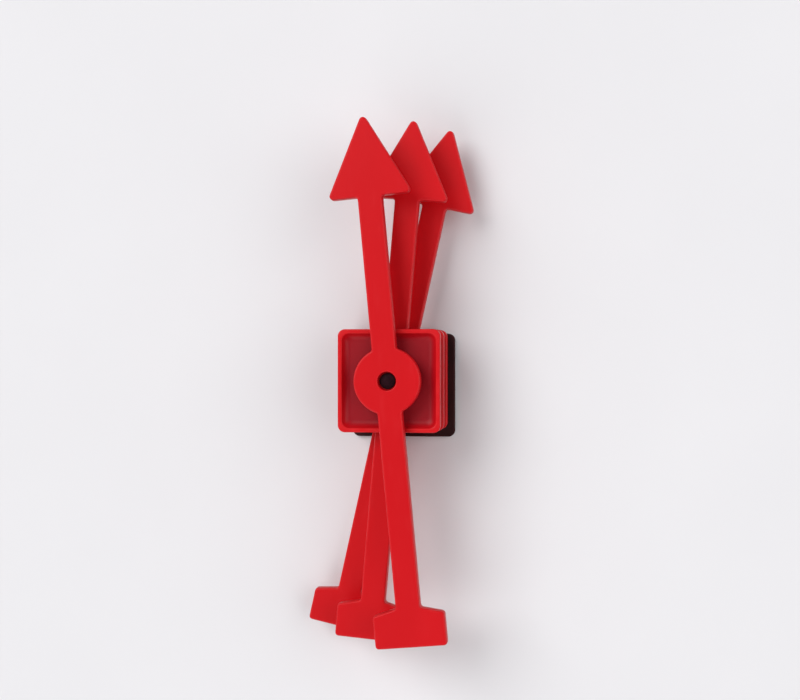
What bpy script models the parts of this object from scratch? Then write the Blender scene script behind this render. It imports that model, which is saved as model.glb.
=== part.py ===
"""Three magnetic game spinners, nested front to back as they are stored.

One spinner is a flat arrow pointer that turns on a pin. The pin is held by a push nut in
a shallow square tray, and a flexible magnet is stuck to the tray's back. Each spinner
stands on the pointer hub of the one below it, and the three pointers are fanned out.

The pivot axis is +Z, the magnet of the lowest spinner lies on z = 0, and a pointer at
zero degrees points along +Y. Run with: blender --background --python part.py
"""

import math

import bmesh
import bpy
from mathutils import Matrix, Vector

MM = 0.001
COLLECTION = "game_spinner"
CUTTERS = "cutters"

# Spinners from the bottom up: the name, where its pointer rests, in degrees
# counter-clockwise as seen from the front, and its magnet's side and place. The magnets are
# stuck on by hand. The lowest one is the largest, and it is stuck off the pivot axis.
SPINNERS = (
    ("lower", -12.5, 30.4 * MM, (1.3 * MM, -1.7 * MM)),
    ("middle", -4.9, 28.3 * MM, (0.0, 0.0)),
    ("upper", 5.35, 28.3 * MM, (0.0, 0.0)),
)

# Pointer, seen from the front. It turns on the middle of its length.
POINTER_REACH = 74.0 * MM
POINTER_THICKNESS = 3.2 * MM
HEAD_WIDTH = 24.2 * MM
HEAD_LENGTH = 22.5 * MM
HEAD_RADIUS = 1.1 * MM
SHAFT_WIDTH = 7.0 * MM
HUB_RADIUS = 9.45 * MM
TAIL_WIDTH = 20.2 * MM
TAIL_SIDE = 9.3 * MM
TAIL_MIDDLE = 10.95 * MM
TAIL_RADIUS = 0.9 * MM
INSIDE_RADIUS = 0.6 * MM
EDGE_RADIUS = 0.35 * MM

# Recess in the hub, which sinks the pin's head below the pointer's face.
RECESS_RADIUS = 2.6 * MM
HUB_WEB = 0.8 * MM
PIVOT_BORE_RADIUS = 1.25 * MM

# Square tray, magnet and the sticky sheet between them.
TRAY_SIDE = 29.0 * MM
TRAY_HEIGHT = 3.0 * MM
TRAY_CORNER = 2.0 * MM
TRAY_WALL = 1.6 * MM
TRAY_FLOOR = 1.2 * MM
TRAY_FILLET = 1.1 * MM
TRAY_BOSS_RADIUS = 4.5 * MM
TRAY_BOSS_BELOW_RIM = 0.2 * MM
MAGNET_THICKNESS = 1.5 * MM
MAGNET_EDGE = 0.2 * MM
STICKER_SIDE = 27.0 * MM
STICKER_THICKNESS = 0.4 * MM

# Pivot hardware.
PIN_RADIUS = 1.0 * MM
PIN_HEAD_RADIUS = 2.25 * MM
PIN_HEAD_THICKNESS = 0.7 * MM
WASHER_RADIUS = 4.0 * MM
WASHER_THICKNESS = 0.5 * MM
NUT_RADIUS = 3.0 * MM
NUT_THICKNESS = 0.4 * MM
NUT_POCKET_RADIUS = 3.3 * MM
NUT_POCKET_DEPTH = 0.8 * MM

# Clearances: between faces that lie on each other, and around a shaft.
FACE_GAP = 0.2 * MM
SHAFT_GAP = 0.25 * MM

# Heights above the bottom of one spinner's magnet, from the bottom up.
STICKER_Z = MAGNET_THICKNESS + FACE_GAP
TRAY_Z = STICKER_Z + STICKER_THICKNESS + FACE_GAP
FLOOR_Z = TRAY_Z + TRAY_FLOOR
RIM_Z = TRAY_Z + TRAY_HEIGHT
BOSS_Z = RIM_Z - TRAY_BOSS_BELOW_RIM
WASHER_Z = BOSS_Z + FACE_GAP
POINTER_Z = WASHER_Z + WASHER_THICKNESS + FACE_GAP
PIN_HEAD_Z = POINTER_Z + HUB_WEB + FACE_GAP
POINTER_TOP_Z = POINTER_Z + POINTER_THICKNESS
NUT_Z = TRAY_Z + FACE_GAP
SPINNER_PITCH = POINTER_TOP_Z + FACE_GAP

# Facets.
ROUND_STEPS = 40
ARC_STEP = math.radians(20.0)
HUB_ARC_STEP = math.radians(10.0)
BEVEL_RESOLUTION = 1
SHARP_ANGLE = math.radians(35.0)
OVERCUT = 2.0 * MM
WELD = 0.001 * MM


def clear_scene():
    for obj in list(bpy.data.objects):
        bpy.data.objects.remove(obj)


def new_collection(name):
    made = bpy.data.collections.new(name)
    bpy.context.scene.collection.children.link(made)
    return made


def new_material(name, colour, roughness, metallic=0.0):
    made = bpy.data.materials.new(name)
    made.use_nodes = True
    shader = made.node_tree.nodes["Principled BSDF"]
    shader.inputs["Base Color"].default_value = (*colour, 1.0)
    shader.inputs["Roughness"].default_value = roughness
    shader.inputs["Metallic"].default_value = metallic
    made.diffuse_color = (*colour, 1.0)
    return made


def rounded(corners):
    """The closed outline through corners (x, y, radius), each replaced by its tangent arc."""
    outline = []
    for i, (x, y, radius) in enumerate(corners):
        corner = Vector((x, y))
        if radius == 0:
            outline.append(corner)
            continue
        to_last = (Vector(corners[i - 1][:2]) - corner).normalized()
        to_next = (Vector(corners[(i + 1) % len(corners)][:2]) - corner).normalized()
        half_angle = to_last.angle(to_next) / 2
        centre = corner + (to_last + to_next).normalized() * radius / math.sin(half_angle)
        start = corner + to_last * radius / math.tan(half_angle) - centre
        end = corner + to_next * radius / math.tan(half_angle) - centre
        sweep = start.angle_signed(end)
        steps = max(1, math.ceil(abs(sweep) / ARC_STEP))
        for k in range(steps + 1):
            outline.append(centre + Matrix.Rotation(-sweep * k / steps, 2) @ start)
    return outline


def square(side, radius):
    half = side / 2
    signs = ((1, 1), (-1, 1), (-1, -1), (1, -1))
    return rounded([(sx * half, sy * half, radius) for sx, sy in signs])


def pointer_outline():
    """Right half from the tip to the tail, then the same points mirrored back up."""
    half_shaft = SHAFT_WIDTH / 2
    head_base = POINTER_REACH - HEAD_LENGTH
    tail_top = TAIL_MIDDLE - POINTER_REACH
    shoulder = TAIL_SIDE - POINTER_REACH
    shaft_angle = math.acos(half_shaft / HUB_RADIUS)
    hub_steps = math.ceil(2 * shaft_angle / HUB_ARC_STEP)
    hub = []
    for k in range(hub_steps + 1):
        angle = shaft_angle * (1 - 2 * k / hub_steps)
        hub.append((HUB_RADIUS * math.cos(angle), HUB_RADIUS * math.sin(angle), 0))
    right = [
        (HEAD_WIDTH / 2, head_base, HEAD_RADIUS),
        (half_shaft, head_base, INSIDE_RADIUS),
        *hub,
        (half_shaft, tail_top, INSIDE_RADIUS),
        (TAIL_WIDTH / 2, shoulder, TAIL_RADIUS),
        (TAIL_WIDTH / 2, -POINTER_REACH, TAIL_RADIUS),
    ]
    left = [(-x, y, radius) for x, y, radius in reversed(right)]
    # The tip is pulled past the reach by what its rounding takes off.
    half_tip = math.atan2(HEAD_WIDTH / 2, HEAD_LENGTH)
    tip = POINTER_REACH + HEAD_RADIUS * (1 / math.sin(half_tip) - 1)
    return rounded([(0.0, tip, HEAD_RADIUS), *right, *left])


def placed(name, mesh, parent, material, collection):
    """A named object made of a mesh, with its origin at its parent's, on the pivot axis."""
    obj = bpy.data.objects.new(name, mesh)
    collection.objects.link(obj)
    obj.parent = parent
    mesh.materials.append(material)
    return obj


def merge_caps(shape, half_height):
    """Replaces the triangles of the top and bottom caps by one face each."""
    for level in (half_height, -half_height):
        cap = [f for f in shape.faces if all(abs(v.co.z - level) < WELD for v in f.verts)]
        bmesh.ops.delete(shape, geom=cap, context="FACES")
    bmesh.ops.holes_fill(shape, edges=shape.edges, sides=0)


def plate_mesh(name, outline, bottom, height, edge=0.0):
    """The mesh of an outline extruded from bottom to bottom + height, its rims rounded.

    The caps of the filled curve are made one face each, because the straight base of the
    arrow head has four corners in line, which triangles join badly.
    """
    curve = bpy.data.curves.new(name, "CURVE")
    curve.dimensions = "2D"
    curve.fill_mode = "BOTH"
    curve.extrude = height / 2 - edge
    curve.bevel_depth = edge
    curve.bevel_resolution = BEVEL_RESOLUTION
    curve.offset = -edge
    spline = curve.splines.new("POLY")
    spline.points.add(len(outline) - 1)
    for point, (x, y) in zip(spline.points, outline):
        point.co = (x, y, 0.0, 1.0)
    spline.use_cyclic_u = True
    guide = bpy.data.objects.new(name, curve)
    bpy.context.scene.collection.objects.link(guide)
    evaluated = guide.evaluated_get(bpy.context.evaluated_depsgraph_get())
    mesh = bpy.data.meshes.new_from_object(evaluated)
    bpy.data.objects.remove(guide)
    shape = bmesh.new()
    shape.from_mesh(mesh)
    bmesh.ops.remove_doubles(shape, verts=shape.verts, dist=WELD)
    merge_caps(shape, height / 2)
    bmesh.ops.translate(shape, vec=(0, 0, bottom + height / 2), verts=shape.verts)
    bmesh.ops.recalc_face_normals(shape, faces=shape.faces)
    shape.to_mesh(mesh)
    shape.free()
    mesh.name = name
    mesh.shade_smooth()
    mesh.set_sharp_from_angle(angle=SHARP_ANGLE)
    return mesh


def profile_mesh(name, profile, closed):
    """Edges through (radius, z) points, which a Screw modifier turns about the axis."""
    mesh = bpy.data.meshes.new(name)
    shape = bmesh.new()
    verts = [shape.verts.new((radius, 0.0, z)) for radius, z in profile]
    for first, second in zip(verts, verts[1:]):
        shape.edges.new((first, second))
    if closed:
        shape.edges.new((verts[-1], verts[0]))
    shape.to_mesh(mesh)
    shape.free()
    return mesh


def turn(obj):
    screw = obj.modifiers.new("turned", "SCREW")
    screw.steps = ROUND_STEPS
    screw.render_steps = ROUND_STEPS
    screw.use_merge_vertices = True
    screw.merge_threshold = WELD
    screw.use_smooth_shade = False


def combine(obj, other, operation):
    boolean = obj.modifiers.new(other.name, "BOOLEAN")
    boolean.operation = operation
    boolean.object = other
    boolean.solver = "EXACT"


def hide(obj):
    obj.hide_render = True
    obj.display_type = "WIRE"


def turned_helper(name, profile, parent, material, cutters):
    """A turned solid that joins or cuts another object and isn't a part itself."""
    helper = placed(name, profile_mesh(name, profile, closed=False), parent, material, cutters)
    turn(helper)
    hide(helper)
    return helper


def solid_profile(*steps):
    """The profile of a stepped solid of revolution from (radius, bottom z, top z) cylinders."""
    profile = [(0.0, steps[0][2])]
    for radius, bottom, top in steps:
        profile += [(radius, top), (radius, bottom)]
    return [*profile, (0.0, steps[-1][1])]


def ring_profile(outer, inner, bottom, height):
    return [(outer, bottom + height), (outer, bottom), (inner, bottom), (inner, bottom + height)]


def make_magnet(unit, side, place, base, looks, parts):
    outline = square(side, TRAY_CORNER)
    mesh = plate_mesh(f"{unit}_magnet", outline, 0.0, MAGNET_THICKNESS, MAGNET_EDGE)
    magnet = placed(f"{unit}_magnet", mesh, base, looks["magnet"], parts)
    magnet.location.xy = place


def make_sticker(unit, base, looks, parts):
    outline = square(STICKER_SIDE, TRAY_CORNER)
    mesh = plate_mesh(f"{unit}_adhesive_sheet", outline, STICKER_Z, STICKER_THICKNESS)
    placed(f"{unit}_adhesive_sheet", mesh, base, looks["adhesive"], parts)


def make_tray(unit, base, looks, parts, cutters):
    """A shallow square tray with a filleted floor, a boss for the pin and a nut pocket."""
    outer = square(TRAY_SIDE, TRAY_CORNER)
    mesh = plate_mesh(f"{unit}_base_tray", outer, TRAY_Z, TRAY_HEIGHT, EDGE_RADIUS)
    tray = placed(f"{unit}_base_tray", mesh, base, looks["plastic"], parts)

    inner = square(TRAY_SIDE - 2 * TRAY_WALL, TRAY_CORNER)
    depth = TRAY_HEIGHT + OVERCUT
    mesh = plate_mesh(f"{unit}_tray_hollow", inner, FLOOR_Z, depth, TRAY_FILLET)
    hollow = placed(f"{unit}_tray_hollow", mesh, base, looks["plastic"], cutters)
    hide(hollow)
    combine(tray, hollow, "DIFFERENCE")

    foot = TRAY_Z + TRAY_FLOOR / 2
    boss = solid_profile((TRAY_BOSS_RADIUS, foot, BOSS_Z))
    boss = turned_helper(f"{unit}_tray_boss", boss, base, looks["plastic"], cutters)
    combine(tray, boss, "UNION")

    bore = solid_profile(
        (PIN_RADIUS + SHAFT_GAP, TRAY_Z + NUT_POCKET_DEPTH, BOSS_Z + OVERCUT),
        (NUT_POCKET_RADIUS, TRAY_Z - OVERCUT, TRAY_Z + NUT_POCKET_DEPTH),
    )
    bore = turned_helper(f"{unit}_tray_bore", bore, base, looks["plastic"], cutters)
    combine(tray, bore, "DIFFERENCE")


def make_pivot(unit, base, looks, parts):
    """The headed pin, the push nut that grips it under the tray, and the slip washer."""
    pin = solid_profile(
        (PIN_HEAD_RADIUS, PIN_HEAD_Z, PIN_HEAD_Z + PIN_HEAD_THICKNESS),
        (PIN_RADIUS, NUT_Z, PIN_HEAD_Z),
    )
    mesh = profile_mesh(f"{unit}_pivot_pin", pin, closed=False)
    turn(placed(f"{unit}_pivot_pin", mesh, base, looks["steel"], parts))

    rings = (
        ("push_nut", "steel", NUT_RADIUS, NUT_Z + FACE_GAP, NUT_THICKNESS),
        ("slip_washer", "nylon", WASHER_RADIUS, WASHER_Z, WASHER_THICKNESS),
    )
    for name, look, radius, bottom, height in rings:
        profile = ring_profile(radius, PIN_RADIUS + SHAFT_GAP, bottom, height)
        mesh = profile_mesh(f"{unit}_{name}", profile, closed=True)
        turn(placed(f"{unit}_{name}", mesh, base, looks[look], parts))


def make_pointer(unit, pivot, looks, parts, cutters):
    mesh = plate_mesh(
        f"{unit}_pointer", pointer_outline(), POINTER_Z, POINTER_THICKNESS, EDGE_RADIUS
    )
    pointer = placed(f"{unit}_pointer", mesh, pivot, looks["plastic"], parts)
    web_top = POINTER_Z + HUB_WEB
    bore = solid_profile(
        (RECESS_RADIUS, web_top, POINTER_TOP_Z + OVERCUT),
        (PIVOT_BORE_RADIUS, POINTER_Z - OVERCUT, web_top),
    )
    bore = turned_helper(f"{unit}_pointer_bore", bore, pivot, looks["plastic"], cutters)
    combine(pointer, bore, "DIFFERENCE")


def new_empty(name, parent, collection, z=0.0, degrees=0.0):
    made = bpy.data.objects.new(name, None)
    collection.objects.link(made)
    made.parent = parent
    made.location.z = z
    made.rotation_euler.z = math.radians(degrees)
    return made


def make_spinner(index, unit, degrees, magnet_side, magnet_place, looks, parts, cutters):
    base = new_empty(f"{unit}_spinner", None, parts, z=index * SPINNER_PITCH)
    pivot = new_empty(f"{unit}_pivot", base, parts, degrees=degrees)
    make_magnet(unit, magnet_side, magnet_place, base, looks, parts)
    make_sticker(unit, base, looks, parts)
    make_tray(unit, base, looks, parts, cutters)
    make_pivot(unit, base, looks, parts)
    make_pointer(unit, pivot, looks, parts, cutters)


def main():
    clear_scene()
    parts = new_collection(COLLECTION)
    cutters = new_collection(CUTTERS)
    looks = {
        "plastic": new_material("red_plastic", (0.62, 0.014, 0.019), 0.35),
        "magnet": new_material("magnet_sheet", (0.022, 0.008, 0.008), 0.6),
        "adhesive": new_material("adhesive_film", (0.62, 0.60, 0.54), 0.5),
        "steel": new_material("dark_steel", (0.02, 0.016, 0.018), 0.4, 1.0),
        "nylon": new_material("nylon", (0.8, 0.78, 0.74), 0.4),
    }
    for index, spinner in enumerate(SPINNERS):
        make_spinner(index, *spinner, looks, parts, cutters)


main()
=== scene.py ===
# %% [markdown]
# # Three magnetic spinners
# A stack of three game spinners. Each is a flat red arrow that turns on a pin, in a square
# red tray with a dark magnet under it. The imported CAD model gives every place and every
# moving body. This script makes the surfaces that are seen: soft moulded edges, the
# sunken floor of the tray, the cut edge of the magnet, and the finishes of each.

# %% Load the frame
import math

import bmesh
import bpy
import numpy as np
from mathutils import Matrix, Vector


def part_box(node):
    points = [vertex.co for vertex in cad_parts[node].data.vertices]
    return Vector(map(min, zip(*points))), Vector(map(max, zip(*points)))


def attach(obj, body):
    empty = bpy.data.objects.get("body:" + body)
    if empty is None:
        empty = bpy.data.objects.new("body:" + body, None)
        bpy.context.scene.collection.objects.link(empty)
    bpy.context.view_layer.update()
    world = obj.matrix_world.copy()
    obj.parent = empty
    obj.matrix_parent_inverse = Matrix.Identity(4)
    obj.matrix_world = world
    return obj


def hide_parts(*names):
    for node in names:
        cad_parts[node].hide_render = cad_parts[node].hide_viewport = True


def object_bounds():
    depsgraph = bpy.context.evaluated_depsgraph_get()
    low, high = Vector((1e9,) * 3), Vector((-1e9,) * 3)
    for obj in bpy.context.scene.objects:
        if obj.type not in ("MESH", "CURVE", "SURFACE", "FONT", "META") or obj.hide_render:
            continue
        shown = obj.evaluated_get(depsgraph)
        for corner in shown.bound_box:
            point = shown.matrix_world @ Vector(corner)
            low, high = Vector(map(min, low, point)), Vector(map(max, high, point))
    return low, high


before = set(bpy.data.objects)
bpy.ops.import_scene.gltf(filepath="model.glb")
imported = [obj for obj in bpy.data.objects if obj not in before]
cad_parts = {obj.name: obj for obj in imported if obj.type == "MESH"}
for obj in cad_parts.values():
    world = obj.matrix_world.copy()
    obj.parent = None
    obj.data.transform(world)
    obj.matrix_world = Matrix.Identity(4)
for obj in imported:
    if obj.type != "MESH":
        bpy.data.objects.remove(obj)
cad_low, cad_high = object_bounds()
MM = 0.001
print("CAD box in mm:", [round((b - a) / MM, 1) for a, b in zip(cad_low, cad_high)])

# %% [markdown]
# ## Where things are
# The three spinners are alike, so each piece is described once and made three times, with
# its heights read from its CAD box. The lowest magnet's box is larger, and the arrows rest
# at different angles, counted counter-clockwise from +Y. Shapes that a box can't tell, such
# as the arrow's outline, follow from a few driving dimensions beside each piece.

# %% The three spinners
REST_DEGREES = {"lower": -12.5, "middle": -4.9, "upper": 5.35}
print("arrows at rest, in degrees:", REST_DEGREES)


# %% [markdown]
# ## From arrays to a mesh
# Every piece here is closed all the way round some line: an outline or an axis. So one
# helper is enough: it takes rings of points, joins each ring to the next with four-sided
# faces, and keeps two numbers from 0 to 1 with each ring: how sharply the surface turns
# outwards there, and how deep it lies in a hollow. The finishes use them to lighten worn
# edges and to paint shade into hollows. Flat faces with holes in them have no natural grid,
# so Blender fills them between their border loops, and they are shaded flat.

# %% The shell helper
WELD_DISTANCE = 0.0005 * MM
SAME_LEVEL = 0.001 * MM


class Shell:
    """Rings of points joined into one closed piece."""

    def __init__(self):
        self.points = []
        self.faces = []
        self.layers = {"edge": [], "sunken_shade_and_matt": []}
        self.count = 0

    def rings(self, points, edge=0.0, sunken_shade_and_matt=0.0, closed=False):
        """points is (rings, around, 3). closed joins the last ring to the first as well.

        A face's corners are a point, the next one round, and the same two on the next ring.
        """
        rings, around, _ = points.shape
        index = self.count + np.arange(rings * around).reshape(rings, around)
        after = np.roll(index, -1, axis=1)
        last = rings if closed else rings - 1
        above = np.roll(index, -1, axis=0)
        above_after = np.roll(after, -1, axis=0)
        quads = np.stack([index, after, above_after, above], axis=-1)[:last]
        self.points.append(points.reshape(-1, 3))
        self.faces.append(quads.reshape(-1, 4))
        for name, value in (("edge", edge), ("sunken_shade_and_matt", sunken_shade_and_matt)):
            each = np.broadcast_to(np.asarray(value, float), (rings,))
            self.layers[name].append(np.repeat(each, around))
        self.count += rings * around

    def piece(self, name, flat_levels=(), turned=0.0):
        """The object, its flat faces filled at the given heights, turned about the axis."""
        mesh = bpy.data.meshes.new(name)
        points = np.concatenate(self.points)
        faces = np.concatenate(self.faces)
        mesh.from_pydata(points.tolist(), [], faces.tolist(), shade_flat=False)
        for layer_name, values in self.layers.items():
            layer = mesh.attributes.new(layer_name, "FLOAT", "POINT")
            layer.data.foreach_set("value", np.concatenate(values).astype(np.float32))
        shape = bmesh.new()
        shape.from_mesh(mesh)
        bmesh.ops.remove_doubles(shape, verts=shape.verts, dist=WELD_DISTANCE)
        for level in flat_levels:
            border = [e for e in shape.edges if e.is_boundary and at_level(e, level)]
            bmesh.ops.triangle_fill(shape, use_beauty=True, edges=border)
        bmesh.ops.rotate(
            shape, verts=shape.verts, matrix=Matrix.Rotation(math.radians(turned), 3, "Z")
        )
        bmesh.ops.recalc_face_normals(shape, faces=shape.faces)
        open_edges = sum(not e.is_manifold for e in shape.edges)
        shape.to_mesh(mesh)
        shape.free()
        made = bpy.data.objects.new(name, mesh)
        bpy.context.scene.collection.objects.link(made)
        print(f"{name}: {len(mesh.polygons)} faces, {open_edges} open edges")
        return made


def at_level(edge, level):
    """Whether both ends of an edge lie at this height."""
    return all(abs(vert.co.z - level) < SAME_LEVEL for vert in edge.verts)


# %% [markdown]
# ## Lines and profiles
# An outline is drawn as a maker would draw it: corners, each with its radius. It is then
# sampled at an even spacing. A profile is the cut through a wall: how far each point lies
# in from the outline, and how high. Carrying the profile along the outline gives the wall.

# %% Outline and profile helpers
CORNER_POINTS = 13
STRAIGHT = 1e-6
SHARP = math.radians(10)


def arc(centre, radius, start, end, steps):
    """Points at centre + radius (cos a, sin a), a running from start to end degrees."""
    a = np.radians(np.linspace(start, end, steps + 1))
    return np.stack([centre[0] + radius * np.cos(a), centre[1] + radius * np.sin(a)], axis=1)


def rounded_outline(corners, spacing):
    """The closed line through corners (x, y, radius), evenly sampled.

    The arc at a corner touches both sides. Its centre lies on the line that halves the
    corner's angle, at radius / sin(half angle) from the corner.
    """
    line = []
    for i, (x, y, radius) in enumerate(corners):
        corner = np.array([x, y])
        to_last = np.subtract(corners[i - 1][:2], corner)
        to_next = np.subtract(corners[(i + 1) % len(corners)][:2], corner)
        to_last = to_last / np.linalg.norm(to_last)
        to_next = to_next / np.linalg.norm(to_next)
        middle = to_last + to_next
        if radius == 0 or np.linalg.norm(middle) < STRAIGHT:
            line.append(corner[None])
            continue
        half = math.acos(np.clip(to_last @ to_next, -1, 1)) / 2
        centre = corner + middle / np.linalg.norm(middle) * radius / math.sin(half)
        t = np.linspace(0, 1, CORNER_POINTS)[:, None]
        reach = radius / math.tan(half)
        chord = (1 - t) * (corner + to_last * reach) + t * (corner + to_next * reach)
        outward = chord - centre
        line.append(centre + radius * outward / np.linalg.norm(outward, axis=1)[:, None])
    line = np.concatenate(line)
    line = np.vstack([line, line[:1]])
    along = np.concatenate([[0], np.cumsum(np.linalg.norm(np.diff(line, axis=0), axis=1))])
    count = int(round(along[-1] / spacing))
    at = np.linspace(0, along[-1], count, endpoint=False)
    return np.stack([np.interp(at, along, line[:, 0]), np.interp(at, along, line[:, 1])], axis=1)


def softened(line, passes):
    """Each point moved to (last + 2 itself + next) / 4, which rounds the sharp inner corners."""
    for _ in range(passes):
        line = (np.roll(line, 1, axis=0) + 2 * line + np.roll(line, -1, axis=0)) / 4
    return line


def convex(section):
    """How sharply a section turns outwards at each point: 0 if straight, 1 from SHARP up.

    The section is (across, up) points with the material on its left. The turn at a point is
    the heading of the step after it less the heading of the step before it.
    """
    across, up = np.diff(np.asarray(section), axis=0).T
    turn = np.diff(np.unwrap(np.arctan2(up, across)))
    return np.concatenate([[0.0], np.clip(turn / SHARP, 0, 1), [0.0]])


def wall(line, profile):
    """Rings along the profile: point = line + inward normal * inset, at the profile's height."""
    ahead = np.roll(line, -1, axis=0) - np.roll(line, 1, axis=0)
    ahead = ahead / np.linalg.norm(ahead, axis=1)[:, None]
    area = np.sum(line[:, 0] * np.roll(line[:, 1], -1) - line[:, 1] * np.roll(line[:, 0], -1))
    inward = np.stack([-ahead[:, 1], ahead[:, 0]], axis=1) * np.sign(area)
    inset, height = np.asarray(profile).T
    flat = line[None] + inward[None] * inset[:, None, None]
    tall = np.broadcast_to(height[:, None, None], (len(inset), len(line), 1))
    return np.concatenate([flat, tall], axis=2)


def turned_rings(profile, around=96):
    """A (radius, height) profile turned about Z: (r cos a, r sin a, z)."""
    radius, height = np.asarray(profile).T
    a = np.linspace(0, 2 * math.pi, around, endpoint=False)
    ring = np.stack([np.cos(a), np.sin(a), np.zeros(around)], axis=1)
    rise = np.array([0.0, 0.0, 1.0])
    return radius[:, None, None] * ring[None] + height[:, None, None] * rise


def square_rings(profile, steps=12):
    """Rounded squares: a (half side, corner radius, height) row for each ring.

    A point is (half - radius) * (sign x, sign y) + radius * (cos a, sin a), with the signs
    of its quadrant. Where the radius equals the half side, the ring is a circle.
    """
    half, radius, height = np.asarray(profile).T
    quadrant = np.repeat(np.arange(4), steps + 1)
    a = np.radians(np.tile(np.linspace(0, 90, steps + 1), 4) + 90 * quadrant)
    signs = np.array([(1, 1), (-1, 1), (-1, -1), (1, -1)])[quadrant]
    turn = np.stack([np.cos(a), np.sin(a)], axis=1)
    flat = (half - radius)[:, None, None] * signs[None] + radius[:, None, None] * turn[None]
    tall = np.broadcast_to(height[:, None, None], (*flat.shape[:2], 1))
    return np.concatenate([flat, tall], axis=2)


# %% [markdown]
# ## Shader maths
# A finish is a small calculation over the surface. Written as nodes it is hard to read, so
# a socket is wrapped in a class whose operators add the Math nodes. Any other node
# comes from one method that takes its type, its settings and what goes into its sockets.

# %% The shader helper
class Socket:
    """A value that changes over the surface. Operators on it add Math nodes."""

    def __init__(self, finish, output):
        self.finish = finish
        self.output = output

    def maths(self, operation, first, second=0.0):
        """A Math node with this operation on two values or sockets."""
        return self.finish.node("Math", {"operation": operation}, {0: first, 1: second})

    def __add__(self, other):
        return self.maths("ADD", self, other)

    def __sub__(self, other):
        return self.maths("SUBTRACT", self, other)

    def __rsub__(self, other):
        return self.maths("SUBTRACT", other, self)

    def __mul__(self, other):
        return self.maths("MULTIPLY", self, other)

    __radd__ = __add__
    __rmul__ = __mul__

    def sine(self):
        """The sine of the value, in radians."""
        return self.maths("SINE", self)

    def between(self, low, high):
        """0 below low, 1 above high, and a smooth step from one to the other."""
        return self.finish.node(
            "MapRange", {"interpolation_type": "SMOOTHSTEP"}, {0: self, 1: low, 2: high}
        )


class Finish:
    """A material under construction, on the object's own coordinates.

    With turned, the coordinates turn with the arrow, so a stretched pattern follows it.
    """

    def __init__(self, name, turned=0.0):
        self.material = bpy.data.materials.new(name)
        self.material.use_nodes = True
        self.tree = self.material.node_tree
        self.tree.nodes.clear()
        place = self.node("TexCoord", output="Object")
        back = {"Rotation": (0.0, 0.0, math.radians(turned))}
        self.place = self.node("Mapping", {"vector_type": "TEXTURE"}, {0: place, **back})

    def node(self, kind, settings=None, inputs=None, output=0):
        """Any node: its settings are set first, then each socket gets a link or a value."""
        made = self.tree.nodes.new("ShaderNode" + kind)
        for key, value in (settings or {}).items():
            setattr(made, key, value)
        for key, value in (inputs or {}).items():
            if isinstance(value, Socket):
                self.tree.links.new(value.output, made.inputs[key])
            else:
                made.inputs[key].default_value = value
        return Socket(self, made.outputs[output])

    def noise(self, size, detail=2.0, stretch=(1.0, 1.0, 1.0), rough=0.5):
        """Cloudy noise from 0 to 1, whose lumps are about this size in metres."""
        place = self.place
        if stretch != (1.0, 1.0, 1.0):
            place = self.node("Mapping", None, {0: place, "Scale": stretch})
        scale = {"Vector": place, "Scale": 1 / size, "Detail": detail, "Roughness": rough}
        return self.node("TexNoise", None, scale)

    def cells(self, size, feature="F1", stretch=(1.0, 1.0, 1.0)):
        """Distance to the nearest of scattered points, or to the border between their cells."""
        place = self.node("Mapping", None, {0: self.place, "Scale": stretch})
        inputs = {"Vector": place, "Scale": 1 / size}
        return self.node("TexVoronoi", {"feature": feature}, inputs, output="Distance")

    def stripes(self, width):
        """A sine from -1 to 1 across x, one wave to each width in metres."""
        across = self.node("SeparateXYZ", None, {0: self.place}, output="X")
        return (across * (2 * math.pi / width)).sine()

    def rings(self, width):
        """A sine from -1 to 1 of the distance from the axis, one wave to each width."""
        flat = self.node("VectorMath", {"operation": "MULTIPLY"}, {0: self.place, 1: (1, 1, 0)})
        radius = self.node("VectorMath", {"operation": "LENGTH"}, {0: flat}, output="Value")
        return (radius * (2 * math.pi / width)).sine()

    def layer(self, name):
        """A number that the piece keeps at each of its points."""
        return self.node("Attribute", {"attribute_name": name}, output="Fac")

    def mix(self, factor, first, second):
        """A colour between two, each of them a colour or a socket."""
        colours = [c if isinstance(c, Socket) else (*c, 1.0) for c in (first, second)]
        inputs = {0: factor, 6: colours[0], 7: colours[1]}
        return self.node("Mix", {"data_type": "RGBA"}, inputs, output=2)

    def bump(self, height, depth, under=None):
        """A bump of this depth in metres where height is 1, on top of another bump."""
        inputs = {"Height": height, "Distance": depth, "Strength": 1.0}
        if under is not None:
            inputs["Normal"] = under
        return self.node("Bump", None, inputs)

    def done(self, **inputs):
        """The material, with these values and links in the sockets of its shader."""
        named = {key.replace("_", " "): value for key, value in inputs.items()}
        shader = self.node("BsdfPrincipled", None, named)
        end = self.tree.nodes.new("ShaderNodeOutputMaterial")
        self.tree.links.new(shader.output, end.inputs["Surface"])
        return self.material


def dress(piece, material, slot, body, *nodes):
    """Gives a piece its finish and its body, in place of the CAD nodes it stands for. slot is not
    used.
    """
    piece.data.materials.append(material)
    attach(piece, body)
    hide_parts(*nodes)
    return piece


# %% [markdown]
# ## Red moulded plastic
# The arrows and trays are injection-moulded in one bright red. The colour is even, and
# what makes it plastic is the surface: a satin with a faint orange peel, slow changes of
# gloss where the plastic cooled, a few hairline rubs from handling, and edges that are
# a little paler where they have been rubbed. The floor of a hollow keeps the coarser,
# matt texture of the spark-eroded mould, and its red is painted darker with depth, as
# painted shade.

# %% Red plastic finish
RED = (0.63, 0.0050, 0.0095)
DEEP_RED = (0.59, 0.0042, 0.0082)
RUBBED_RED = (0.72, 0.018, 0.024)
# The next colour is painted shade: the darker red that the floor of a hollow is painted, in place
# of its shadow.
SUNKEN_SHADE_RED = (0.28, 0.0020, 0.0090)


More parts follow.
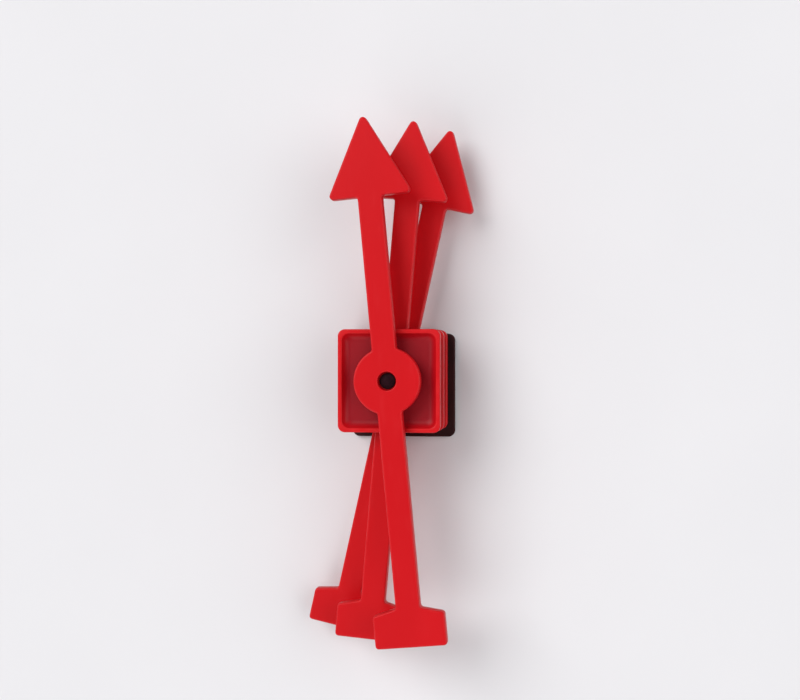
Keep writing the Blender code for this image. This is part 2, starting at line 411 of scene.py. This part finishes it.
def red_plastic(name, turned=0.0):
    """Satin red, with painted shade in hollows. Its rubs and hairs run along +Y, turned with the
    arrow.
    """
    look = Finish(name, turned)
    cooling = look.noise(24 * MM, 3.0, (1.0, 0.35, 1.0))
    peel = look.noise(0.55 * MM, 2.0)
    grain = look.noise(0.16 * MM, 1.0)
    rubs = look.noise(2.4 * MM, 4.0, (2.0, 0.25, 1.0), 0.6).between(0.56, 0.74)
    hairs = look.cells(7 * MM, "DISTANCE_TO_EDGE", (1.6, 0.5, 1.0))
    hairs = (1.0 - hairs.between(0.002, 0.007)) * look.noise(6 * MM).between(0.50, 0.68)
    worn = look.layer("edge") * look.noise(2.5 * MM, 3.0).between(0.36, 0.66)
    sunken_shade_and_matt = look.layer("sunken_shade_and_matt")
    colour = look.mix(cooling.between(0.35, 0.68), DEEP_RED, RED)
    colour = look.mix(worn * 0.25, colour, RUBBED_RED)
    colour = look.mix(rubs * 0.06 + hairs * 0.12, colour, RUBBED_RED)
    # Painted shade: towards the bottom of a hollow the red is painted darker, standing in for its
    # shadow.
    colour = look.mix(sunken_shade_and_matt * (0.90 + 0.10 * cooling), colour, SUNKEN_SHADE_RED)
    roughness = 0.27 + 0.06 * cooling + 0.05 * grain + 0.09 * rubs
    roughness = roughness + 0.10 * hairs + 0.14 * worn + 0.10 * sunken_shade_and_matt
    waves = look.bump(cooling, 0.08 * MM)
    eroded = look.bump(grain * sunken_shade_and_matt, 0.012 * MM, waves)
    surface = look.bump(peel + 0.4 * grain - 0.5 * hairs, 0.005 * MM, eroded)
    return look.done(
        Base_Color=colour,
        Roughness=roughness,
        Normal=surface,
        IOR=1.50,
        Specular_IOR_Level=0.20,
    )


# %% [markdown]
# ## The pointer
# One flat arrow, 3.2 mm thick. Its outline is mirrored left to right, so only the right
# half's corners are listed, and the hub's arc is computed. The front edge is rounded
# more than the back edge, as on a part that sits face down in its mould, and a fine line
# runs round the middle of the wall where the two halves of the mould met. On the back
# are the round marks of the pins that pushed the arrow out, and the pit with a small nub
# where the plastic flowed in.

# %% Pointer outline
REACH = 74.0 * MM
HEAD_WIDTH = 24.2 * MM
HEAD_LENGTH = 22.5 * MM
HEAD_RADIUS = 1.1 * MM
SHAFT_WIDTH = 7.0 * MM
HUB_RADIUS = 9.45 * MM
TAIL_WIDTH = 20.2 * MM
TAIL_SIDE = 9.3 * MM
TAIL_MIDDLE = 10.95 * MM
TAIL_RADIUS = 0.9 * MM
INSIDE_RADIUS = 0.6 * MM
OUTLINE_SPACING = 0.22 * MM
HUB_STEPS = 48


def pointer_corners():
    """Corners from the tip down the right side, then up the left side.

    The shaft's side meets the hub where cos(angle) = half the shaft's width / hub radius.
    The tip's corner stands beyond REACH by radius * (1 / sin(half angle) - 1), so that the
    rounded tip itself reaches REACH.
    """
    half_shaft = SHAFT_WIDTH / 2
    meets_hub = math.degrees(math.acos(half_shaft / HUB_RADIUS))
    hub = arc((0.0, 0.0), HUB_RADIUS, meets_hub, -meets_hub, HUB_STEPS)
    head_base = REACH - HEAD_LENGTH
    right = [
        (HEAD_WIDTH / 2, head_base, HEAD_RADIUS),
        (half_shaft, head_base, INSIDE_RADIUS),
        *[(x, y, 0.0) for x, y in hub],
        (half_shaft, TAIL_MIDDLE - REACH, INSIDE_RADIUS),
        (TAIL_WIDTH / 2, TAIL_SIDE - REACH, TAIL_RADIUS),
        (TAIL_WIDTH / 2, -REACH, TAIL_RADIUS),
    ]
    half_tip = math.atan2(HEAD_WIDTH / 2, HEAD_LENGTH)
    tip = REACH + HEAD_RADIUS * (1 / math.sin(half_tip) - 1)
    left = [(-x, y, radius) for x, y, radius in reversed(right)]
    return [(0.0, tip, HEAD_RADIUS), *right, *left]


POINTER_LINE = softened(rounded_outline(pointer_corners(), OUTLINE_SPACING), passes=4)
print("points round the pointer:", len(POINTER_LINE))


# %% Pointer surface
RECESS_RADIUS = 2.6 * MM
BORE_RADIUS = 1.25 * MM
HUB_WEB = 0.8 * MM
MOUTH_EDGE = 0.30 * MM
RECESS_EDGE = 0.18 * MM
FRONT_EDGE = 0.50 * MM
BACK_EDGE = 0.22 * MM
SUPPORT = 0.05 * MM
DRAFT = 0.05 * MM
SEAM_HEIGHT = 0.04 * MM
SEAM_DEPTH = 0.03 * MM
MARK_RADIUS = 1.6 * MM
MARK_DEPTH = 0.14 * MM
MARK_PLACES = ((0.0, 58.0), (0.0, 33.0), (0.0, -33.0), (6.2, -68.3), (-6.2, -68.3))
MARK_SLOPE = 0.1 * MM
GATE_RADIUS = 1.1 * MM
GATE_PLACES = ((0.0, 15.0),)
NUB_HEIGHT = 0.10 * MM
NUB_FOOT = 0.50
NUB_TOP = 0.35


def pointer_profile(back, front):
    """Inset and height from the flat of the back, round the wall, to the flat of the front.

    Both edges are quarter circles. Half way up, the wall comes out by the seam's depth, and
    from there it leans in by the draft.
    """
    seam = (back + front) / 2
    lower = arc((SEAM_DEPTH + BACK_EDGE, back + BACK_EDGE), BACK_EDGE, 270, 180, 5)
    top = SEAM_DEPTH + DRAFT
    upper = arc((top + FRONT_EDGE, front - FRONT_EDGE), FRONT_EDGE, 180, 90, 9)
    middle = [(SEAM_DEPTH, seam - SEAM_HEIGHT), (0.0, seam), (SEAM_DEPTH, seam + SEAM_HEIGHT)]
    start = [(lower[0, 0] + SUPPORT, back)]
    end = [(upper[-1, 0] + SUPPORT, front)]
    return np.array([*start, *lower, *middle, *upper, *end])


def hub_bore_profile(back, front):
    """Radius and height down from the front flat, through the recess, to the back flat.

    Each edge and inside corner is a quarter circle: centre + radius (cos a, sin a).
    """
    lip = MOUTH_EDGE
    foot = RECESS_EDGE
    step = RECESS_EDGE / 2
    floor = back + HUB_WEB
    mouth = arc((RECESS_RADIUS + lip, front - lip), lip, 90, 180, 6)
    corner = arc((RECESS_RADIUS - foot, floor + foot), foot, 0, -90, 4)
    inner = arc((BORE_RADIUS + step, floor - step), step, 90, 180, 3)
    outer = arc((BORE_RADIUS + foot, back + foot), foot, 180, 270, 4)
    return np.array([(mouth[0, 0] + SUPPORT, front), *mouth, *corner, *inner, *outer])


def back_mark(radius, pit, nub):
    """A round pit in the back, as (radius, depth) points: a sloping side, and a nub inside."""
    side = [(radius + MARK_SLOPE, 0.0), (radius, pit), (NUB_FOOT * radius, pit)]
    return np.array([*side, (NUB_TOP * radius, pit - nub), (0.0, pit - nub)])


def make_pointer(unit, red):
    """One arrow: its wall, its bore and its marks as rings, with both flats filled between."""
    low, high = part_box(f"{unit}_pointer")
    back = low.z
    front = high.z
    shell = Shell()
    profile = pointer_profile(back, front)
    shell.rings(wall(POINTER_LINE, profile), convex(profile * (-1, 1)))
    bore = hub_bore_profile(back, front)
    shell.rings(turned_rings(bore), convex(bore))
    pin_mark = back_mark(MARK_RADIUS, MARK_DEPTH, 0.0)
    gate_mark = back_mark(GATE_RADIUS, MARK_DEPTH, NUB_HEIGHT)
    for mark, places in ((pin_mark, MARK_PLACES), (gate_mark, GATE_PLACES)):
        for x, y in places:
            shell.rings(turned_rings(mark, 40) + np.array([x * MM, y * MM, back]))
    name = f"{unit}_arrow_moulding"
    piece = shell.piece(name, flat_levels=(back, front), turned=REST_DEGREES[unit])
    dress(piece, red, "red_plastic", f"{unit}_arrow", f"{unit}_pointer")


for unit, degrees in REST_DEGREES.items():
    make_pointer(unit, red_plastic(f"red_pointer_{unit}", degrees))


# %% [markdown]
# ## The tray
# A shallow square tray. Seen in section it goes up the outer wall, over the rounded rim,
# down into a wide fillet, across the sunken floor and up the boss in the middle. The whole
# of it is one list of rings, which change from rounded squares to circles as they near the
# boss. The list is closed, because the bore leads back to the underside.

# %% Tray section
CORNER = 2.0 * MM
TRAY_FLOOR = 1.2 * MM
BOSS_RADIUS = 4.5 * MM
BOSS_BELOW_RIM = 0.2 * MM
POCKET_RADIUS = 3.3 * MM
POCKET_DEPTH = 0.8 * MM
RIM_EDGE = 0.40 * MM
RIM_FLAT = 0.50 * MM
STEEPEST = 70.0
INNER_CORNER = 2.2 * MM
INNER_FOLLOW = 0.35
FLOOR_CORNER = 1.3 * MM
FOOT_EDGE = 0.25 * MM
BOSS_EDGE = 0.25 * MM
BOSS_FILLET = 0.6 * MM
BORE_EDGE = 0.15 * MM
BAND = 0.1 * MM


def square_arc(centre, radius, start, end, steps, corner, at_half, follow=1.0):
    """Rounded squares along an arc in section, as (half side, corner radius, height) rows.

    The corner radius is corner + follow * (half side - at_half): with follow 1 the corner
    keeps its centre, as it does round an even edge.
    """
    half, height = arc(centre, radius, start, end, steps).T
    return np.stack([half, corner + follow * (half - at_half), height], axis=1)


def circles(section):
    """Rows for (radius, height) points: with half side = corner radius, a ring is a circle."""
    radius, height = np.asarray(section).T
    return np.stack([radius, radius, height], axis=1)


def tray_profile(low, high):
    """Rows from the nut pocket out along the underside, over the rim and in to the bore.

    The rim's inner edge turns by STEEPEST degrees, and the fillet turns back by as much, so
    their radii add up to depth / (1 - cos STEEPEST). A BAND is a narrow strip of the flat
    beside an edge, which keeps the edge's shading off the rest of that flat. The pocket's
    own edges are chamfers of one BAND.
    """
    half = high.x
    bottom = low.z
    rim = high.z
    floor = bottom + TRAY_FLOOR
    boss = rim - BOSS_BELOW_RIM
    pocket = bottom + POCKET_DEPTH
    nut_pocket = [
        (BORE_RADIUS, pocket),
        (POCKET_RADIUS - BAND, pocket),
        (POCKET_RADIUS, pocket - BAND),
        (POCKET_RADIUS, bottom + BAND),
        (POCKET_RADIUS + BAND, bottom),
        (POCKET_RADIUS + 4 * BAND, bottom),
    ]
    turned = math.radians(STEEPEST)
    fillet = (rim - floor) / (1 - math.cos(turned)) - RIM_EDGE
    over = half - RIM_EDGE - RIM_FLAT
    toe = over - (fillet + RIM_EDGE) * math.sin(turned)
    inner = (INNER_CORNER, over, INNER_FOLLOW)
    skirt = arc((BOSS_RADIUS + BOSS_FILLET, floor + BOSS_FILLET), BOSS_FILLET, 270, 180, 6)
    boss_top = [
        (BOSS_RADIUS - BOSS_EDGE - 1.5 * BAND, boss),
        (BORE_RADIUS + BORE_EDGE + BAND, boss),
        (BORE_RADIUS + BORE_EDGE, boss),
        (BORE_RADIUS, boss - BORE_EDGE),
    ]
    return np.concatenate([
        circles(nut_pocket),
        [(half - FOOT_EDGE - BAND, CORNER - FOOT_EDGE - BAND, bottom)],
        square_arc((half - FOOT_EDGE, bottom + FOOT_EDGE), FOOT_EDGE, 270, 360, 5, CORNER, half),
        square_arc((half - RIM_EDGE, rim - RIM_EDGE), RIM_EDGE, 0, 90, 7, CORNER, half),
        square_arc((over, rim - RIM_EDGE), RIM_EDGE, 90, 90 + STEEPEST, 6, *inner),
        square_arc((toe, floor + fillet), fillet, STEEPEST - 90, -90, 14, *inner),
        [(toe - 2 * BAND, FLOOR_CORNER, floor)],
        circles([(BOSS_RADIUS + BOSS_FILLET + 2 * BAND, floor), *skirt]),
        circles(arc((BOSS_RADIUS - BOSS_EDGE, boss - BOSS_EDGE), BOSS_EDGE, 0, 90, 5)),
        circles(boss_top),
    ])


# %% Tray surface
# The power that shapes the hollow's depth share, which the finish uses for painted shade and a matt
# grain.
SUNKEN_POWER = 1.6


def make_tray(unit, red):
    """One tray. Its hollow layer, for painted shade, is the depth below the rim, as a share, to a
    power.
    """
    low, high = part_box(f"{unit}_base_tray")
    rows = tray_profile(low, high)
    shell = Shell()
    section = rows[:, (0, 2)]
    inside = np.arange(len(rows)) > np.argmax(rows[:, 2])
    depth = (high.z - rows[:, 2]) / (high.z - low.z - TRAY_FLOOR)
    sunken_shade_and_matt = inside * np.clip(depth, 0, 1) ** SUNKEN_POWER
    shell.rings(square_rings(rows), convex(section), sunken_shade_and_matt, closed=True)
    piece = shell.piece(f"{unit}_tray_moulding")
    dress(piece, red, "red_plastic", f"{unit}_base", f"{unit}_base_tray")


tray_red = red_plastic("red_tray")
for unit in REST_DEGREES:
    make_tray(unit, tray_red)


# %% [markdown]
# ## The magnet and its adhesive
# The magnet is a square cut from flexible sheet: ferrite powder in rubber, nearly black with
# a red-brown cast. Its faces are rolled smooth, with faint lines along the rolling direction
# and the fainter bands of its poles, and its cut edges are worn a little paler. A thin pale
# adhesive film, smaller than either, holds it to the tray. The magnets are stuck on by
# hand, and the lowest is a larger piece set off the middle, so its dark edge shows beside
# the trays.

# %% Magnet and adhesive finishes
MAGNET_DARK = (0.018, 0.0026, 0.0028)
MAGNET_BLOOM = (0.030, 0.0042, 0.0046)
MAGNET_WORN = (0.060, 0.010, 0.011)
FILM_PALE = (0.56, 0.54, 0.48)
FILM_DUSTY = (0.34, 0.31, 0.27)
FILM_BUBBLE = (0.68, 0.66, 0.60)


def magnet_rubber():
    """Dull, nearly black rubber, with rolling lines, pole bands, powder and small pits."""
    look = Finish("flexible_magnet")
    rolling = look.noise(0.9 * MM, 2.0, (6.0, 0.08, 1.0))
    poles = look.stripes(2.1 * MM)
    powder = look.noise(0.12 * MM, 2.0)
    bloom = look.noise(9 * MM, 4.0)
    pit = 1.0 - look.cells(0.5 * MM).between(0.05, 0.28)
    worn = look.layer("edge") * look.noise(1.1 * MM, 3.0).between(0.35, 0.62)
    colour = look.mix(bloom.between(0.35, 0.7), MAGNET_DARK, MAGNET_BLOOM)
    colour = look.mix(worn * 0.6, colour, MAGNET_WORN)
    roughness = 0.46 + 0.14 * powder + 0.10 * bloom + 0.08 * worn + 0.03 * poles
    lines = look.bump(rolling + 0.3 * poles, 0.018 * MM)
    surface = look.bump(powder - 0.7 * pit, 0.014 * MM, lines)
    return look.done(
        Base_Color=colour,
        Roughness=roughness,
        Normal=surface,
        IOR=1.46,
        Specular_IOR_Level=0.22,
    )


def adhesive_film():
    """A pale film with small bubbles, and dust where it shows."""
    look = Finish("adhesive_film")
    bubble = 1.0 - look.cells(0.8 * MM).between(0.10, 0.35)
    dust = look.noise(1.4 * MM, 4.0)
    colour = look.mix(dust.between(0.40, 0.75), FILM_PALE, FILM_DUSTY)
    colour = look.mix(bubble * 0.4, colour, FILM_BUBBLE)
    roughness = 0.52 + 0.25 * dust - 0.15 * bubble
    surface = look.bump(bubble + 0.5 * dust, 0.02 * MM)
    return look.done(Base_Color=colour, Roughness=roughness, Normal=surface, IOR=1.48)


# %% Magnet and adhesive surfaces
PLATE_MIDDLE = 2 * MM
MAGNET_EDGE = 0.30 * MM
FILM_EDGE = 0.08 * MM


def plate_rows(low, high, edge, steps=4):
    """A plate with rounded rims: from a small circle under its middle, round, to one on top."""
    half = (high.x - low.x) / 2
    level = half - edge
    return np.concatenate([
        circles([(0.0, low.z), (PLATE_MIDDLE, low.z)]),
        [(level - BAND, CORNER - edge - BAND, low.z)],
        square_arc((level, low.z + edge), edge, 270, 360, steps, CORNER, half),
        square_arc((level, high.z - edge), edge, 0, 90, steps, CORNER, half),
        [(level - BAND, CORNER - edge - BAND, high.z)],
        circles([(PLATE_MIDDLE, high.z), (0.0, high.z)]),
    ])


def make_plate(node, name, look, slot, body, edge):
    """One magnet or film: the rings of its rows, moved to the middle of its CAD box."""
    low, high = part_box(node)
    rows = plate_rows(low, high, edge)
    rings = square_rings(rows)
    rings[:, :, :2] += np.array([(low.x + high.x) / 2, (low.y + high.y) / 2])
    shell = Shell()
    shell.rings(rings, convex(rows[:, (0, 2)]))
    dress(shell.piece(name), look, slot, body, node)


rubber = magnet_rubber()
film = adhesive_film()
for unit in REST_DEGREES:
    body = f"{unit}_base"
    make_plate(f"{unit}_magnet", f"{unit}_magnet_sheet", rubber, "magnet", body, MAGNET_EDGE)
    sheet = f"{unit}_adhesive_sheet"
    make_plate(sheet, f"{unit}_adhesive_film", film, "adhesive", body, FILM_EDGE)


# %% [markdown]
# ## The pivot
# A blackened steel pin with a low domed head, sunk in the hub so that the hole reads as a
# dark eye. A nylon slip washer keeps the arrow off the boss, and a push nut grips the
# pin under the tray with eight spring teeth.

# %% Pivot finishes
STEEL_DARK = (0.014, 0.0020, 0.0045)
STEEL_STAINED = (0.024, 0.0040, 0.0085)
STEEL_RUBBED = (0.05, 0.030, 0.034)
NYLON_CLOUDED = (0.62, 0.59, 0.53)
NYLON_CLEAR = (0.76, 0.74, 0.69)


def black_steel(name, turned_width):
    """Blackened steel with fine rings about the axis, this far apart."""
    look = Finish(name)
    rings = look.rings(turned_width)
    stain = look.noise(1.8 * MM, 3.0)
    colour = look.mix(stain.between(0.35, 0.7), STEEL_DARK, STEEL_STAINED)
    colour = look.mix(look.layer("edge") * 0.35, colour, STEEL_RUBBED)
    roughness = 0.42 + 0.12 * stain + 0.04 * rings
    surface = look.bump(rings, 0.003 * MM)
    return look.done(
        Base_Color=colour,
        Roughness=roughness,
        Normal=surface,
        Metallic=0.35,
        Specular_IOR_Level=0.08,
    )


def nylon():
    """Off-white nylon, a little cloudy, with a fine grain."""
    look = Finish("nylon")
    cloud = look.noise(2.2 * MM, 3.0)
    grain = look.noise(0.2 * MM, 2.0)
    colour = look.mix(cloud, NYLON_CLOUDED, NYLON_CLEAR)
    surface = look.bump(grain, 0.006 * MM)
    return look.done(Base_Color=colour, Roughness=0.38 + 0.1 * grain, Normal=surface, IOR=1.53)


# %% The pin
SHANK_RADIUS = 1.0 * MM
PIN_HEAD = 0.7 * MM
PIN_RIM = 0.28 * MM
PIN_EDGE = 0.08 * MM
NECK_FILLET = 0.1 * MM
TIP_LENGTH = 0.3 * MM
TIP_CHAMFER = 0.25 * MM


def make_pin(unit, look):
    """A turned profile: the domed head, its rim, the shank and a chamfered end.

    The dome is radius = head * sin(t), height = rim + (top - rim) * cos(t), with t from 0
    to a quarter turn.
    """
    low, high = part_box(f"{unit}_pivot_pin")
    head_radius = high.x
    shank = SHANK_RADIUS
    head_foot = high.z - PIN_HEAD
    rim = head_foot + PIN_RIM
    t = np.linspace(0, math.pi / 2, 15)
    dome = np.stack([head_radius * np.sin(t), rim + (high.z - rim) * np.cos(t)], axis=1)
    lower = [(head_radius, head_foot + PIN_EDGE), (head_radius - PIN_EDGE, head_foot)]
    neck = [(shank + NECK_FILLET, head_foot), (shank, head_foot - NECK_FILLET)]
    tip = [(shank, low.z + TIP_LENGTH), (shank - TIP_CHAMFER, low.z), (0.0, low.z)]
    profile = np.array([*dome, *lower, *neck, *tip])
    shell = Shell()
    shell.rings(turned_rings(profile), convex(profile[::-1])[::-1])
    dress(shell.piece(f"{unit}_pin"), look, "dark_steel", f"{unit}_base", f"{unit}_pivot_pin")


# %% The washer and the push nut
WASHER_EDGE = 0.1 * MM


def make_washer(unit, look):
    """A flat ring, its section four quarter circles joined by straight sides."""
    low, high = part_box(f"{unit}_slip_washer")
    inner = BORE_RADIUS
    edge = WASHER_EDGE
    corners = [
        arc((high.x - edge, high.z - edge), edge, 90, 0, 3),
        arc((high.x - edge, low.z + edge), edge, 0, -90, 3),
        arc((inner + edge, low.z + edge), edge, 270, 180, 3),
        arc((inner + edge, high.z - edge), edge, 180, 90, 3),
    ]
    shell = Shell()
    shell.rings(turned_rings(np.concatenate(corners), 72), closed=True)
    dress(shell.piece(f"{unit}_washer"), look, "nylon", f"{unit}_base", f"{unit}_slip_washer")


TEETH = 8
SLOT_DEPTH = 0.75 * MM
SLOT_SLOPE = 4.0
SLOT_START = 2.6
NUT_SHEET = 0.22 * MM
NUT_DISH = 0.16 * MM


def make_push_nut(unit, look):
    """A thin dished ring whose inner part is cut into teeth.

    With a wave of (1 + cos(teeth * a)) / 2, the inner radius is the bore plus the slot depth
    times SLOT_SLOPE * wave - SLOT_START, kept from 0 to 1, which leaves wide teeth and
    narrow slots. The sheet rises towards the middle by dish * (1 - u) ** 2, with u from 0
    inside to 1 outside.
    """
    low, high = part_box(f"{unit}_push_nut")
    u = np.linspace(0, 1, 14)[:, None]
    a = np.linspace(0, 2 * math.pi, 24 * TEETH, endpoint=False)[None]
    wave = (1 + np.cos(TEETH * a)) / 2
    inner = BORE_RADIUS + SLOT_DEPTH * np.clip(SLOT_SLOPE * wave - SLOT_START, 0, 1)
    radius = inner + (high.x - inner) * u
    rise = np.broadcast_to(low.z + NUT_DISH * (1 - u) ** 2, radius.shape)
    flat = [radius * np.cos(a), radius * np.sin(a)]
    upper = np.stack([*flat, rise + NUT_SHEET], axis=-1)
    lower = np.stack([*flat, rise], axis=-1)
    shell = Shell()
    shell.rings(np.concatenate([upper, lower[::-1]]), closed=True)
    piece = shell.piece(f"{unit}_spring_nut")
    dress(piece, look, "dark_steel", f"{unit}_base", f"{unit}_push_nut")


# %% The pivots of all three
PIN_TURNING = 0.09 * MM
NUT_TURNING = 0.40 * MM
pin_steel = black_steel("turned_steel", PIN_TURNING)
nut_steel = black_steel("spring_steel", NUT_TURNING)
washer_nylon = nylon()
for unit in REST_DEGREES:
    make_pin(unit, pin_steel)
    make_washer(unit, washer_nylon)
    make_push_nut(unit, nut_steel)


# %% [markdown]
# ## Floor, light and camera
# The stack lies on a plain pale table. The main lamp is high on the left and a little
# beyond the tips, so that shadows fall to the right and down, and two wider, weaker ones
# fill them. All three are so far off that the table is lit evenly from end to end, and so
# wide that their shadows are soft. The walls glow and the ceiling is dark: edges pick up a
# soft line of light, while the flat faces, which mirror the ceiling, keep their full red.
# The camera looks almost straight down on the stack, from a little to its right, so that
# the right-hand walls of the trays just show.

# %% Floor
TABLE_HALF = 20.0
TABLE_GAP = 0.1 * MM
TABLE_DARK = (0.755, 0.745, 0.765)
TABLE_LIGHT = (0.795, 0.785, 0.805)


def make_floor():
    """One square of table with faint clouds of tone, just under the lowest magnet."""
    look = Finish("pale_table")
    cloud = look.noise(60 * MM, 3.0)
    colour = look.mix(cloud, TABLE_DARK, TABLE_LIGHT)
    material = look.done(Base_Color=colour, Roughness=0.75)
    signs = np.array([(-1, -1), (1, -1), (1, 1), (-1, 1)])
    heights = np.full((4, 1), cad_low.z - TABLE_GAP)
    corners = np.hstack([signs * TABLE_HALF, heights]).tolist()
    mesh = bpy.data.meshes.new("table")
    mesh.from_pydata(corners, [], [(0, 1, 2, 3)])
    mesh.materials.append(material)
    table = bpy.data.objects.new("table", mesh)
    bpy.context.scene.collection.objects.link(table)


make_floor()


# %% Light
def soft_light(name, towards, spread, strength):
    """A far lamp seen in the direction "towards" as a disc of this many degrees."""
    lamp = bpy.data.lights.new(name, "SUN")
    lamp.angle = math.radians(spread)
    lamp.energy = strength
    made = bpy.data.objects.new(name, lamp)
    made.rotation_euler = Vector(towards).to_track_quat("Z", "Y").to_euler()
    bpy.context.scene.collection.objects.link(made)
    print(f"{name} lamp: {spread} degrees wide, strength {strength}")


soft_light("key", (-0.48, 0.40, 0.72), 40, 1.84)
soft_light("fill", (0.75, 0.10, 0.75), 54, 1.20)
soft_light("front", (-0.50, -0.70, 0.75), 54, 1.16)


# %% Studio walls
WALL_GLOW = 0.70
CEILING_GLOW = 0.14
CEILING_FROM = 0.35
GLOW_COLOUR = (0.97, 0.98, 1.0, 1.0)


def studio_walls():
    """A pale glow all round that fades towards a dark ceiling, with height as its factor.

    From the horizon up to the sine CEILING_FROM of a direction's elevation, the strength
    runs from WALL_GLOW to CEILING_GLOW.
    """
    studio = bpy.data.worlds.new("studio")
    studio.use_nodes = True
    tree = studio.node_tree
    direction = tree.nodes.new("ShaderNodeTexCoord")
    height = tree.nodes.new("ShaderNodeSeparateXYZ")
    glow = tree.nodes.new("ShaderNodeMapRange")
    glow.inputs["From Max"].default_value = CEILING_FROM
    glow.inputs["To Min"].default_value = WALL_GLOW
    glow.inputs["To Max"].default_value = CEILING_GLOW
    tree.links.new(direction.outputs["Generated"], height.inputs[0])
    tree.links.new(height.outputs["Z"], glow.inputs["Value"])
    tree.links.new(glow.outputs[0], tree.nodes["Background"].inputs["Strength"])
    tree.nodes["Background"].inputs["Color"].default_value = GLOW_COLOUR
    bpy.context.scene.world = studio


studio_walls()
bpy.context.scene.view_settings.view_transform = "Standard"

# %% Camera
CAMERA_RIGHT = math.radians(7.66)
CAMERA_UP = math.radians(-0.07)
CAMERA_DISTANCE = 376 * MM
CAMERA_TARGET = Vector((3.76 * MM, 8.64 * MM, cad_high.z))
FOCAL_LENGTH = 61.2
SENSOR_WIDTH = 36.0
NEAREST_SEEN = 10 * MM

lens = bpy.data.cameras.new("camera")
lens.sensor_width = SENSOR_WIDTH
lens.lens = FOCAL_LENGTH
lens.clip_start = NEAREST_SEEN
camera = bpy.data.objects.new("camera", lens)
level = math.cos(CAMERA_UP)
away = Vector((math.sin(CAMERA_RIGHT) * level, math.sin(CAMERA_UP), math.cos(CAMERA_RIGHT) * level))
right = Vector((0.0, 1.0, 0.0)).cross(away).normalized()
up = away.cross(right)
camera.location = CAMERA_TARGET + away * CAMERA_DISTANCE
camera.rotation_euler = Matrix((right, up, away)).transposed().to_euler()
bpy.context.scene.collection.objects.link(camera)
bpy.context.scene.camera = camera
print("camera at, in mm:", [round(place / MM, 1) for place in camera.location])
